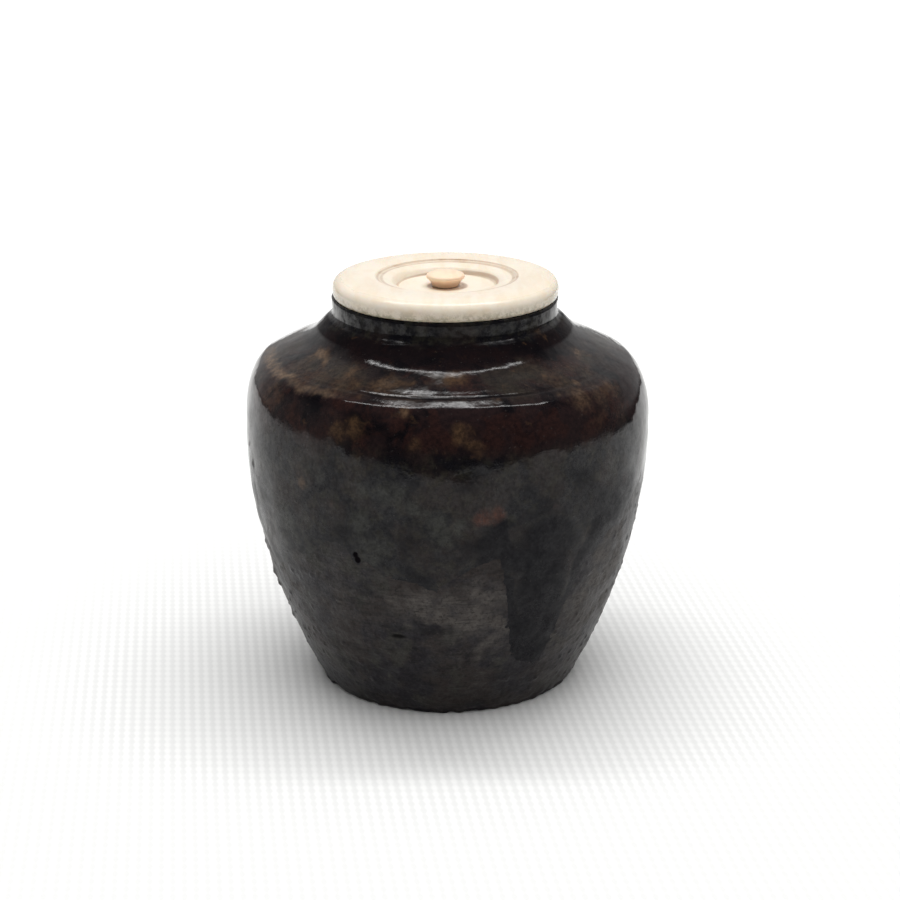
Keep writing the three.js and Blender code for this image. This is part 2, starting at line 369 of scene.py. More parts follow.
# The string that cuts the jar from the wheel leaves nested arcs under the base.
ARC_CENTRE = (9.0, -5.0)
ARC_SPACING = 1.9
ARC_DEPTH = 0.05
off_centre = np.hypot(grid[..., 0] - ARC_CENTRE[0], grid[..., 1] - ARC_CENTRE[1])
arcs = ARC_DEPTH * (1 + np.sin(off_centre * 2 * math.pi / ARC_SPACING))
grid[..., 2] += is_under * arcs * (radius < BASE - 2.0)
jar = turned_solid("thrown_stoneware_jar", settled(grid))


def feed(tree, socket, value):
    """Links a socket to another one, or sets it to a number, a vector or a colour."""
    if isinstance(value, bpy.types.NodeSocket):
        tree.links.new(value, socket)
    elif socket.type == "RGBA":
        socket.default_value = (*value, 1.0)
    else:
        socket.default_value = value


def fill(tree, node, **sockets):
    """Feeds a node's sockets by their names, with _ for each space."""
    for key, value in sockets.items():
        feed(tree, node.inputs[key.replace("_", " ")], value)


def put(tree, kind, settings=None, **sockets):
    """Adds a node, sets its options and its sockets, and returns it."""
    made = tree.nodes.new(kind)
    for key, value in (settings or {}).items():
        setattr(made, key, value)
    fill(tree, made, **sockets)
    return made


def sums(tree, operation, first, second=0.0, third=0.0):
    made = put(tree, "ShaderNodeMath", {"operation": operation})
    for socket, value in zip(made.inputs, (first, second, third)):
        feed(tree, socket, value)
    return made.outputs[0]


def times(tree, first, second):
    return sums(tree, "MULTIPLY", first, second)


def plus(tree, first, second):
    return sums(tree, "ADD", first, second)


def minus(tree, first, second):
    return sums(tree, "SUBTRACT", first, second)


def larger(tree, first, second):
    return sums(tree, "MAXIMUM", first, second)


def opposite(tree, share):
    return minus(tree, 1.0, share)


def graded(tree, share, span, start):
    """From start at share 0 to start and span at share 1, never below 0 or above 1."""
    made = sums(tree, "MULTIPLY_ADD", share, span, start)
    made.node.use_clamp = True
    return made


def tint(tree, share, first, second):
    """Mixes two colours, each a socket or a colour."""
    made = put(tree, "ShaderNodeMix", {"data_type": "RGBA"})
    for socket, value in zip((made.inputs[0], made.inputs[6], made.inputs[7]), (share, first, second)):
        feed(tree, socket, value)
    return made.outputs[2]


def washed(tree, colour, over, share, strength):
    """A colour with another laid over it, as strongly as the share says."""
    return tint(tree, times(tree, share, strength), colour, over)


def slope(tree, value, low, high):
    """0 below low, 1 above high, smooth between them."""
    made = put(
        tree, "ShaderNodeMapRange", {"interpolation_type": "SMOOTHSTEP"},
        Value=value, From_Min=low, From_Max=high,
    )
    return made.outputs[0]


def coordinates(tree, stretch=(1.0, 1.0, 1.0)):
    """Object coordinates in millimetres, with each axis stretched."""
    place = put(tree, "ShaderNodeTexCoord").outputs["Object"]
    scale = tuple(s / MM for s in stretch)
    return put(tree, "ShaderNodeMapping", Vector=place, Scale=scale).outputs[0]


def cloud(tree, where, size, detail=3.0, roughness=0.5, distortion=0.0):
    """Noise whose lumps are about size millimetres across."""
    made = put(
        tree, "ShaderNodeTexNoise", Vector=where, Scale=1.0 / size, Detail=detail,
        Roughness=roughness, Distortion=distortion,
    )
    return made.outputs["Fac"]


def blotches(tree, where, size, low, high, detail=4.0, roughness=0.6, distortion=0.0):
    """Soft-edged blotches of noise: 0 where it is below low, 1 where it is above high."""
    return slope(tree, cloud(tree, where, size, detail, roughness, distortion), low, high)


def painted(tree, name):
    """The values that were marked on the mesh under a name."""
    return put(tree, "ShaderNodeAttribute", {"attribute_name": name}).outputs["Fac"]


def surface(name):
    material = bpy.data.materials.new(name)
    material.use_nodes = True
    tree = material.node_tree
    return material, tree, tree.nodes["Principled BSDF"]


def bumped(tree, shader, height, distance, strength):
    made = put(tree, "ShaderNodeBump", Height=height, Distance=distance * MM, Strength=strength)
    fill(tree, shader, Normal=made.outputs[0])


# Turn in degrees, height, width in millimetres and strength of each place where the wall stayed dry.
DRY_PATCHES = [
    (-98, 25.5, 3.4, 0.9), (-104, 26.5, 2.6, 0.7), (-91, 23.8, 3.6, 1), (-83, 22.6, 3.6, 1),
    (-76, 21, 3.2, 1), (-81, 29.5, 2.6, 0.8), (-76, 27, 2.6, 0.9), (-88, 18.5, 3, 0.5),
    (-44, 22, 3.4, 0.8), (-37, 17, 4, 0.7), (-39, 12.5, 3.4, 0.5), (-40, 25, 3.4, 0.8),
    (-37, 30, 3.6, 0.8), (-31, 34, 3.6, 0.8), (-28, 26, 5, 0.8), (-24, 19, 4.5, 0.7),
    (-148, 24, 4, 0.5), (-158, 30, 5, 0.6), (-166, 22, 5, 0.6), (-122, 27, 3, 0.3),
    (-76, 16, 3, 0.7), (-85, 15, 3.6, 0.45), (-53, 13.5, 2.6, 0.65), (-47, 11.5, 3.2, 0.55),
    (-66, 7, 3.4, 0.4), (-98, 15.5, 3.4, 0.35), (60, 22, 6, 0.8), (76, 17, 5, 0.6),
    (118, 24, 6, 0.8), (150, 20, 5, 0.6), (10, 20, 6, 0.6),
]


def spotted(points, spots):
    """How strongly each point lies in one of the spots on the outside."""
    share = np.zeros(len(points))
    for turn, level, wide, strength in spots:
        side, reach = math.radians(turn), wall_reach(level)
        centre = np.array([reach * math.cos(side), reach * math.sin(side), level])
        near = np.exp(-(np.sum((points - centre) ** 2, axis=1) / wide ** 2))
        share = np.maximum(share, strength * near)
    return share


def bent(points, amount=1.0):
    """The points shifted by chance, so that a spot painted on them has an uneven outline."""
    shifts = []
    for seed in (61, 62, 63):
        shifts.append(0.7 * ripple(points, 7.0, seed) + 0.2 * ripple(points, 3.0, seed + 3))
    return points + amount * np.stack(shifts, axis=-1)


def mark(piece, name, values):
    layer = piece.data.attributes.new(name, "FLOAT", "POINT")
    layer.data.foreach_set("value", values.astype(np.float32))


def mesh_points(piece):
    found = np.empty(3 * len(piece.data.vertices), np.float32)
    piece.data.vertices.foreach_get("co", found)
    return found.reshape(-1, 3) / MM


def wall_reach(level):
    """Radius of the outside wall at a height."""
    return float(np.interp(level, wall[:, 1], wall[:, 0]))


LUMP_DARK = 0.45


def notched(points, marks):
    """How strongly each point of the outside lies in one of the pits, slits or lumps: full painted
    shade in a pit or slit, and less on a lump, whose own colour is darker.
    """
    turn_at = np.arctan2(points[:, 1], points[:, 0])
    reach = np.hypot(points[:, 0], points[:, 1])
    share = np.zeros(len(points))
    for turn, level, wide, tall, deep in marks:
        side = turned_away(turn_at, math.radians(turn)) * reach
        near = np.exp(-((side / wide) ** 2) - ((points[:, 2] - level) / tall) ** 2)
        dark = 1.0 if deep < 0.0 else LUMP_DARK
        share = np.maximum(share, dark * near * (reach > wall_reach(level) - 1.5))
    return share


mark(jar, "dry", spotted(bent(mesh_points(jar)), DRY_PATCHES))
# The pits and the slit are marked for painted shade, the lumps for their darker colour.
mark(jar, "notch_shade_and_dark_lumps", notched(mesh_points(jar), CLAY_MARKS))

# Its colours, and the plain strength of its sheen.
CLAY_SLATE = (0.012, 0.01, 0.0132)
CLAY_BROWN = (0.0255, 0.0195, 0.018)
CLAY_GREEN = (0.027, 0.025, 0.0215)
CLAY_DRY = (0.078, 0.069, 0.063)
CLAY_DARK = (0.005, 0.0046, 0.0048)
CLAY_SHEEN = 0.18

clay, tree, shader = surface("iron_stoneware_clay")
where = coordinates(tree)
# Slate, brown and greenish patches from the kiln.
colour = tint(tree, blotches(tree, where, 8.0, 0.42, 0.58), CLAY_SLATE, CLAY_BROWN)
colour = tint(tree, blotches(tree, where, 6.0, 0.52, 0.64), colour, CLAY_GREEN)
# Paler and rougher where the wall stayed dry, broken up along the turning lines.
bands = cloud(tree, coordinates(tree, (0.10, 0.10, 1.0)), 1.3, 3.0)
scratches = cloud(tree, coordinates(tree, (0.12, 0.12, 1.0)), 0.42, 2.0)
broken = plus(tree, cloud(tree, where, 3.0, 4.0, 0.6), times(tree, bands, 0.30))
dry = slope(tree, plus(tree, times(tree, painted(tree, "dry"), 0.7), broken), 0.72, 1.25)
speckle = blotches(tree, where, 1.1, 0.40, 0.60, roughness=0.7)
grey = tint(tree, graded(tree, speckle, 0.35, 0.65), CLAY_BROWN, CLAY_DRY)
colour = tint(tree, dry, colour, grey)
# Dark turning lines and specks, pale specks, painted shade in the pit and the slit, and darker lumps.
lines = larger(tree, slope(tree, bands, 0.52, 0.68), slope(tree, scratches, 0.54, 0.66))
colour = washed(tree, colour, CLAY_DARK, lines, 0.45)
specks = blotches(tree, where, 0.6, 0.50, 0.66, 3.0, 0.7)
colour = washed(tree, colour, CLAY_DARK, specks, 0.55)
pale_specks = blotches(tree, coordinates(tree, (1.0, 1.0, 1.1)), 0.7, 0.58, 0.70, 3.0, 0.7)
colour = washed(tree, colour, CLAY_DRY, pale_specks, 0.3)
notch_shade_and_dark_lumps = times(tree, slope(tree, painted(tree, "notch_shade_and_dark_lumps"), 0.20, 0.80), 0.85)
colour = tint(tree, notch_shade_and_dark_lumps, colour, CLAY_DARK)
fill(tree, shader, Base_Color=colour, Roughness=graded(tree, dry, 0.24, 0.34))
# The sheen is uneven; the plain value serves where a painted one can't be read.
sheen = graded(tree, blotches(tree, where, 3.5, 0.35, 0.65, 5.0, 0.7), 0.15, 0.145)
fine = blotches(tree, where, 0.7, 0.36, 0.62, roughness=0.75)
sheen = times(tree, sheen, graded(tree, fine, 0.40, 0.60))
sheen = times(tree, sheen, opposite(tree, notch_shade_and_dark_lumps))
fill(tree, shader, Specular_IOR_Level=CLAY_SHEEN)
fill(tree, shader, Specular_IOR_Level=sheen)
grain = plus(tree, cloud(tree, where, 0.45, 3.0, 0.6), times(tree, bands, 0.15))
grain = plus(tree, grain, times(tree, scratches, 0.2))
bumped(tree, shader, grain, 0.09, 0.5)
jar.data.materials.append(clay)

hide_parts("jar_foot", "jar_belly", "jar_shoulder")
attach(jar, "jar")

# The iron glaze
# A coat of dark brown iron glaze, dipped over lip, neck and shoulder, which ran down the wall as it
# melted. It ends in a thick wavy edge, with one long run at the front that stops short of the foot.
# Millimetres over which its edge thins out, how deep it dips into the clay past the edge, how far its
# back lies behind its front, and a height that it never runs below.
EDGE_ROUNDING = 3.0
HIDDEN_DEPTH = 0.15
BACK_DEPTH = 0.28
GLAZE_LOW = 7.0
# Heights that the sloping top of the shoulder lies between.
SLOPE_FROM = 60.0
SLOPE_TO = 69.0
# Distance from the axis of the shoulder's ridge, its two grooves and the welt at its edge.
RIDGE = 26.6
LOWER_GROOVE = 32.1
UPPER_GROOVE = 31.2
WELT = 34.5


def shoulder_relief(angle, radius, height):
    """A soft ridge under the neck, two fine grooves on the shoulder and a welt at its edge."""
    on_top = (height > SLOPE_FROM) & (height < SLOPE_TO)
    front_side = 0.5 - 0.5 * np.sin(angle)
    ridge = 0.03 * np.exp(-(((radius - RIDGE) / 0.5) ** 2))
    lower_groove = np.exp(-(((radius - LOWER_GROOVE) / 0.26) ** 2))
    upper_groove = 0.5 * np.exp(-(((radius - UPPER_GROOVE) / 0.24) ** 2))
    grooves = -0.08 * (lower_groove + upper_groove) * (0.3 + 0.7 * front_side)
    welt = 0.05 * np.exp(-(((radius - WELT) / 0.4) ** 2)) * (0.7 + 0.5 * np.sin(9 * angle + 1.0))
    return np.where(on_top, ridge + grooves + welt, 0.0)


# The pit in two lobes, drops that stand out at the left and at the shoulder's edge, and a dimple.
GLAZE_PITS = [
    (-116.6, 34.7, 0.45, 0.5, -0.5), (-116, 33.7, 0.55, 0.6, -0.5), (-163, 44.5, 0.5, 0.8, 0.25),
    (-167, 47.5, 0.4, 0.5, 0.18), (-57.1, 61, 1.3, 0.35, 0.13), (-123, 35.8, 0.4, 0.4, -0.15),
]

skin = spaced(outer_wall(), FINE)[::-1]
skin = skin[(skin[:, 1] > GLAZE_LOW) | (skin[:, 0] < BASE - 4.0)]
skin_normal = -outward(skin)
angle, radius, height = around(skin)
turn_step = 1e-3
edge_slope = (glaze_edge(angle + turn_step) - glaze_edge(angle - turn_step)) / (2 * turn_step)
beyond = (height - glaze_edge(angle)) / np.sqrt(1 + (edge_slope / radius) ** 2)
inward = np.clip(beyond / EDGE_ROUNDING, 0.0, 1.0)
thick = GLAZE_THICKNESS * inward * (2.0 - inward)
thick = np.where(beyond < 0.0, -HIDDEN_DEPTH * np.clip(-beyond / EDGE_ROUNDING, 0.0, 1.0), thick)
at = swept(angle, radius, height)
melt = 0.018 * ripple(at, 9.0, seed=21) + 0.008 * ripple(at, 3.5, seed=22)
melt = melt + 0.003 * ripple(at, 1.6, seed=23) + dents(angle, radius, height, GLAZE_PITS)
covered = np.clip(beyond / 2.0, 0.0, 1.0)
front = thick - GLAZE_THICKNESS + wall_relief(angle, radius, height)
front = front + covered * (melt + shoulder_relief(angle, radius, height))
back = wall_relief(angle, radius, height) - GLAZE_THICKNESS - BACK_DEPTH
outside = pushed(angle, radius, height, front, skin_normal)
behind = pushed(angle, radius, height, back, skin_normal)
rows, columns = radius.shape
count = rows * columns
hidden = (beyond < -EDGE_ROUNDING) & (height < SLOPE_FROM)
hidden_next = np.roll(hidden, -1, 1)
shown = ~(hidden[:-1] & hidden[1:] & hidden_next[:-1] & hidden_next[1:])
front_quads = ring_quads(rows, columns)[:, ::-1][shown.ravel()]
back_quads = ring_quads(rows, columns, count)[shown.ravel()]


def joined(first, second):
    """Quads from an edge of the front skin to the same edge of the back skin."""
    return np.stack([first, second, second + count, first + count], axis=-1)


# Both skins are joined along the glaze's lower edge, up its steps and at the rim inside the mouth.
next_shown = np.roll(shown, -1, 1)
below_shown = np.vstack([shown[1:], np.zeros((1, columns), bool)])
i, j = np.nonzero(shown & ~below_shown)
sides = [joined((i + 1) * columns + j, (i + 1) * columns + (j + 1) % columns)[:, ::-1]]
for step, way in ((shown & ~next_shown, 1), (next_shown & ~shown, -1)):
    i, j = np.nonzero(step)
    top = i * columns + (j + 1) % columns
    sides.append(joined(top, top + columns)[:, ::way])
j = np.arange(columns)
sides.append(joined(j, (j + 1) % columns))
quads = np.vstack([front_quads, back_quads, *sides])
points = np.vstack([settled(outside).reshape(-1, 3), settled(behind).reshape(-1, 3)])
used = np.unique(quads)
renumber = np.zeros(len(points), int)
renumber[used] = np.arange(len(used))
glaze = build("running_iron_glaze", points[used], renumber[quads])

# Turn in degrees, height, width in millimetres and strength of each amber cloud in the glaze.
AMBER_CLOUDS = [
    (-121, 57.8, 2.6, 0.9), (-116, 58.4, 2.3, 0.8), (-102, 61.4, 1.8, 0.7), (-85, 58.6, 2.4, 0.9),
    (-83, 55.8, 2.2, 0.8), (-98, 57, 1.9, 0.7), (-149, 65.9, 1.9, 1), (-144, 65.7, 1.6, 0.9),
    (-128, 65.1, 1.8, 0.8), (-111, 65.1, 1.8, 0.8), (-106, 65.2, 1.6, 0.7), (-86, 65.3, 2.2, 0.8),
    (-98, 65, 1.3, 0.5), (-50, 65.1, 1.7, 0.7), (-45, 63.2, 1.7, 0.8), (-39, 63, 1.4, 0.6),
    (-26, 66.3, 2.4, 0.5), (-134, 47, 1.8, 0.7), (-75, 63.4, 1.4, 0.5), (-116, 63.2, 1.4, 0.5),
    (-140, 64.4, 4.2, 0.55), (-126, 64.3, 3.8, 0.55), (-152, 64.6, 3.5, 0.5),
    (-112, 64.3, 3.6, 0.6), (-50, 64.6, 3.4, 0.5), (-36, 64.6, 3.6, 0.5), (-34, 61.8, 2.4, 0.5),
    (-150, 60, 3, 0.45), (20, 60, 3, 0.7), (38, 65, 2.4, 0.8), (55, 58.5, 2.8, 0.7),
    (80, 65.5, 2.2, 0.8), (84, 57, 3, 0.8), (110, 62.5, 2, 0.9), (118, 63, 1.8, 0.9),
    (126, 62.6, 1.8, 0.8), (150, 58, 2.8, 0.7), (162, 65, 2.4, 0.8), (96, 45, 2.4, 0.5),
    (35, 47, 2.2, 0.5),
]
# The tan line that broke along the shoulder's edge at the left, and tan spots above and below it.
TAN_SPOTS = [(turn, 62.75 + 0.2 * math.sin(turn), 1.6, 0.85) for turn in range(-184, -146, 2)]
TAN_SPOTS += [(turn, 62.6 + 0.2 * math.sin(turn), 1.4, 0.65) for turn in range(-146, -124, 2)]
TAN_SPOTS += [
    (-149, 65.9, 1.7, 0.7), (-144, 65.8, 1.5, 0.6), (-128, 65, 1.3, 0.4), (-111, 65, 1.6, 0.6),
    (-102, 61.4, 1.3, 0.6), (-45, 63.4, 1.3, 0.7), (-26, 66.3, 1.8, 0.6), (112, 62.7, 1.4, 0.9),
    (-53.8, 62.8, 0.9, 0.6), (-53.2, 61.8, 0.9, 0.5), (-48, 61.6, 3.2, 0.5), (-40, 61, 3.4, 0.5),
    (-152, 60, 4, 0.35), (-165, 60, 4, 0.35), (-33, 61.4, 3, 0.45), (-44, 57.6, 2.6, 0.35),
    (-32, 57.5, 2.6, 0.35), (-134, 46.6, 1.4, 0.45),
]
# Rust-red spots, pale grey-green clouds and dark slate ones.
RED_SPOTS = [
    (-80.5, 43.7, 1.9, 1.1), (-76.8, 43.7, 1.9, 1.1), (-123, 44.4, 1.5, 0.5), (-60, 43.6, 1.4, 0.5),
    (-31, 45, 1.6, 0.4), (-150, 59, 3.8, 0.55), (-161, 58.5, 3.4, 0.55), (-139, 58.8, 3.4, 0.5),
    (-170, 60, 3, 0.5), (-42, 58.5, 3.6, 0.4), (64, 44, 1.9, 0.8), (128, 41, 1.8, 0.7),
    (172, 46, 1.6, 0.6),
]
PALE_CLOUDS = [
    (-114, 47.7, 2.6, 0.8), (-108, 47.6, 2.4, 0.8), (-103, 47.2, 2.6, 0.9), (-97, 44.8, 2.6, 1),
    (-93, 41.8, 2.4, 1), (-90, 39.6, 1.8, 0.9), (-85.5, 41.8, 1.9, 0.9), (-113, 41, 3, 0.9),
    (-112, 36.5, 2.6, 0.8), (-133, 32.5, 3.4, 0.8), (-142, 37.7, 3.4, 0.8), (-39, 47.6, 2.6, 0.7),
    (-32, 42, 2.6, 0.7), (-76, 49.3, 2.4, 0.5), (-128, 49, 2.8, 0.6), (-150, 48, 3, 0.6),
    (-60, 49, 2.4, 0.4), (10, 44, 4, 0.8), (48, 40, 4, 0.9), (75, 47, 3.6, 0.7), (104, 40, 4, 0.9),
    (140, 46, 3.6, 0.8), (165, 38, 3.6, 0.8),
]
SLATE_CLOUDS = [
    (-57, 37, 5.5, 1), (-43, 42, 5, 1), (-70, 34.5, 4.5, 1), (-81, 36.5, 3.6, 0.9),
    (-50, 46, 4.6, 0.8), (-66, 43, 5, 0.8), (-120, 39.3, 3, 0.9), (-101, 37.6, 3, 0.9),
    (-98, 31.8, 3.6, 1), (-84, 50, 3, 0.6), (-36, 37, 4, 0.9), (0, 38, 4.6, 0.8), (30, 36, 4, 0.7),
    (90, 36, 4.6, 0.9), (122, 38, 4, 0.8), (150, 36, 4, 0.8),
]
SLATE_CLOUDS += [(-62.0, level, 6.2, 1.3) for level in range(10, 38, 3)]
straight = mesh_points(glaze)
wavering = bent(straight)
nearly_straight = bent(straight, 0.4)
mark(glaze, "amber", spotted(wavering, AMBER_CLOUDS))
mark(glaze, "tan", spotted(nearly_straight, TAN_SPOTS))
mark(glaze, "red", spotted(nearly_straight, RED_SPOTS))
mark(glaze, "pale", spotted(wavering, PALE_CLOUDS))
# The glaze is darkest near its edge, from the run round to the right.
DARK_ABOVE_EDGE = 10.5
turn_at = np.arctan2(wavering[:, 1], wavering[:, 0])
near_edge = DARK_ABOVE_EDGE - (wavering[:, 2] - glaze_edge(turn_at))
near_edge = np.clip(near_edge / 4.0, 0.0, 1.3)
past_run = np.clip((turn_at + 1.48) / 0.12, 0.0, 1.0)
up_to_right = np.clip((-0.35 - turn_at) / 0.15, 0.0, 1.0)
near_edge = near_edge * past_run * up_to_right
mark(glaze, "slate", np.maximum(spotted(wavering, SLATE_CLOUDS), near_edge))
# Only the pits and the dimple are marked here, for the painted shade in them.
mark(glaze, "pit", notched(straight, [pit for pit in GLAZE_PITS if pit[-1] < 0.0]))

# Its colours, and the plain strength of its sheen.
GLAZE_BLACK = (0.005, 0.0042, 0.0052)
GLAZE_VIOLET = (0.0185, 0.0108, 0.011)
GLAZE_RUST = (0.029, 0.0125, 0.0105)
GLAZE_AMBER = (0.088, 0.05, 0.026)
GLAZE_TAN = (0.185, 0.12, 0.074)
GLAZE_RED = (0.075, 0.028, 0.018)
GLAZE_SLATE = (0.0066, 0.0064, 0.0085)
GLAZE_UMBER = (0.019, 0.014, 0.013)
GLAZE_OLIVE = (0.036, 0.033, 0.023)
GLAZE_PALE = (0.029, 0.0295, 0.024)
GLAZE_SPECK = (0.06, 0.055, 0.05)
GLAZE_SHEEN = 0.20
# Heights between which its look changes, and the groove's distance from the axis.
GLOSSY_TO_MATT = (49.0, 42.0)
WALL_TO_SHOULDER = (55.0, 60.0)
SHOULDER_TO_SLOPE = (62.0, 64.0)
SLOPE_TO_ROOT = (68.5, 70.5)
ROOT_TO_NECK = (72.5, 73.5)
SHADED_ROOT = (67.7, 68.3), (70.0, 70.6)
GROOVE_REACH = 32.4


def marked(tree, name, broken_by, low=0.42, high=1.02):
    """A painted mark whose soft edge is broken up by noise."""
    value = times(tree, painted(tree, name), 0.75)
    return slope(tree, plus(tree, value, times(tree, broken_by, 0.6)), low, high)


def from_axis(tree, where):
    """The three parts of a place, and its distance from the upright axis."""
    parts = put(tree, "ShaderNodeSeparateXYZ", Vector=where).outputs
    flat = put(tree, "ShaderNodeCombineXYZ", X=parts["X"], Y=parts["Y"]).outputs[0]
    reach = put(tree, "ShaderNodeVectorMath", {"operation": "LENGTH"}, Vector=flat)
    return parts, reach.outputs["Value"]


iron, tree, shader = surface("running_iron_glaze")
where = coordinates(tree)
parts, reach = from_axis(tree, where)
level = parts["Z"]
wavy = plus(tree, level, times(tree, cloud(tree, where, 5.0, 4.0, 0.6), 6.0))
frayed = cloud(tree, where, 2.4, 5.0, 0.62)
drift = cloud(tree, where, 7.0, 4.0, 0.55, 0.3)
on_neck = slope(tree, wavy, *ROOT_TO_NECK)
high = minus(tree, slope(tree, wavy, *WALL_TO_SHOULDER), on_neck)
# The wall below the shoulder: slate and umber with olive flecks and pale clouds.
under = tint(tree, slope(tree, drift, 0.44, 0.60), GLAZE_SLATE, GLAZE_UMBER)
under = washed(tree, under, GLAZE_OLIVE, blotches(tree, where, 2.2, 0.47, 0.62, 5.0, 0.68), 0.45)
pale = marked(tree, "pale", frayed)
under = washed(tree, under, GLAZE_PALE, pale, 0.8)
slate = marked(tree, "slate", frayed, 0.45, 1.05)
under = washed(tree, under, GLAZE_SLATE, slate, 0.95)
# The shoulder: black and violet with rust, olive on its slope, and black painted up at the neck's root
# as its shade.
over = tint(tree, slope(tree, drift, 0.36, 0.52), GLAZE_BLACK, GLAZE_VIOLET)
over = washed(tree, over, GLAZE_RUST, blotches(tree, where, 6.0, 0.48, 0.60, distortion=0.4), 0.7)
at_root = slope(tree, wavy, *SLOPE_TO_ROOT)
on_slope = minus(tree, slope(tree, level, *SHOULDER_TO_SLOPE), at_root)
on_slope = times(tree, on_slope, slope(tree, drift, 0.40, 0.62))
over = washed(tree, over, GLAZE_OLIVE, on_slope, 0.5)
over = washed(tree, over, GLAZE_BLACK, at_root, 0.7)
colour = tint(tree, high, under, over)
# Amber clouds, tan and red spots, then dark blots and grit, and pale specks.
free = times(tree, blotches(tree, where, 4.2, 0.62, 0.70, distortion=0.5), high)
warm = larger(tree, marked(tree, "amber", frayed), times(tree, free, 0.5))
colour = tint(tree, times(tree, warm, graded(tree, frayed, 0.8, 0.3)), colour, GLAZE_AMBER)
colour = tint(tree, marked(tree, "tan", frayed, 0.40, 1.25), colour, GLAZE_TAN)
colour = tint(tree, marked(tree, "red", frayed, 0.45, 1.15), colour, GLAZE_RED)
colour = washed(tree, colour, GLAZE_BLACK, blotches(tree, where, 1.5, 0.56, 0.70, roughness=0.65), 0.3)
colour = washed(tree, colour, GLAZE_BLACK, blotches(tree, where, 0.8, 0.40, 0.62, roughness=0.8), 0.5)
colour = washed(tree, colour, GLAZE_SPECK, blotches(tree, where, 0.5, 0.70, 0.78, 1.0, 0.5), 0.35)
# The groove that shows at the front of the shoulder is dull and painted dark as its shade, and so is
# the pit.
wander = times(tree, cloud(tree, where, 6.0, 3.0), 0.9)
away = sums(tree, "ABSOLUTE", minus(tree, plus(tree, reach, wander), GROOVE_REACH))
groove = opposite(tree, slope(tree, away, 0.12, 0.42))
groove = times(tree, groove, slope(tree, level, SLOPE_FROM, SLOPE_FROM + 2.0))
groove = times(tree, groove, slope(tree, parts["Y"], -26.5, -30.0))
colour = washed(tree, colour, GLAZE_BLACK, groove, 0.7)
pit = slope(tree, painted(tree, "pit"), 0.15, 0.45)
colour = tint(tree, pit, colour, GLAZE_BLACK)
# Glossy on the shoulder, duller in patches below it and matt on the lower wall.
dull = times(tree, blotches(tree, where, 6.0, 0.42, 0.62, 5.0, 0.65, 0.3), opposite(tree, high))
matt = times(tree, slope(tree, wavy, *GLOSSY_TO_MATT), 0.17)
fill(tree, shader, Base_Color=colour, Roughness=plus(tree, graded(tree, dull, 0.14, 0.09), matt))
# The sheen is stronger on pale clouds, weaker on slate and in the neck's root, and broken up by grain.
sheen = graded(tree, blotches(tree, where, 5.0, 0.38, 0.62, 5.0, 0.65, 0.4), 0.08, 0.215)
sheen = plus(tree, sheen, times(tree, pale, 0.05))
sheen = minus(tree, sheen, times(tree, slate, 0.11))
fine = graded(tree, blotches(tree, where, 1.2, 0.36, 0.64, 5.0, 0.72), 0.30, 0.68)
patchy = graded(tree, blotches(tree, where, 1.7, 0.38, 0.62, roughness=0.7), 0.85, 0.15)
grainy = graded(tree, blotches(tree, where, 0.6, 0.38, 0.60, 3.0, 0.8), 0.30, 0.78)
root = minus(tree, slope(tree, level, *SHADED_ROOT[0]), slope(tree, level, *SHADED_ROOT[1]))
breaks = [opposite(tree, pit), tint(tree, on_neck, fine, patchy), grainy]
breaks += [opposite(tree, times(tree, groove, 0.8)), opposite(tree, times(tree, root, 0.92))]
for share in breaks:
    sheen = times(tree, sheen, share)
fill(tree, shader, Specular_IOR_Level=GLAZE_SHEEN)
fill(tree, shader, Specular_IOR_Level=sheen)
peel = plus(tree, cloud(tree, where, 1.6, 3.0), times(tree, cloud(tree, where, 0.5, 2.0), 0.5))
bumped(tree, shader, peel, 0.035, 0.6)
glaze.data.materials.append(iron)

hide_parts("iron_glaze_coat")
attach(glaze, "jar")

# The lid's disc
# One ivory-like disc, turned and polished, with a rounded rim, a bevelled ring and a shallow well for
# the fingers. A flange turned on its underside drops into the jar's mouth and centres it.
disc_low, disc_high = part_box("lid_disc")
# Radii and heights in millimetres, from the underside up and in to the well and the peg's hole.
DISC = disc_high.x / MM
DISC_TOP = disc_high.z / MM
DISC_UNDER = LIP_TOP + 0.06
FLANGE_BOTTOM = disc_low.z / MM
FLANGE = 17.1
CROWN = 17.0
RING_OUTER = 13.15
RING_INNER = 12.2
RING_LOW = 77.3
WELL = 9.5
WELL_EDGE = 76.9
WELL_FLOOR = 75.7
PEG = 1.4
LID_LEAN = -0.35
# Columns round the lid, and spacing along its rim in millimetres.
LID_AROUND = 360
LID_FINE = 0.12


def leaning(points):
    """The lid sits over the leaning neck."""
    return points + np.array([LID_LEAN, 0.0, 0.0])


def turned_piece(name, path, relief=None):
    angle, radius, height = around(path, LID_AROUND)
    if relief is not None:
        height = height + relief(angle, radius, height)
    return turned_solid(name, leaning(swept(angle, radius, height)))


def line(spacing, start, end):
    return spaced(np.array([start, end]), spacing)


def curve(spacing, start, pull, push, end):
    """A curved part of an outline that goes on from the point where the last part ended."""
    return spaced(bezier(start, pull, push, end), spacing)[1:]


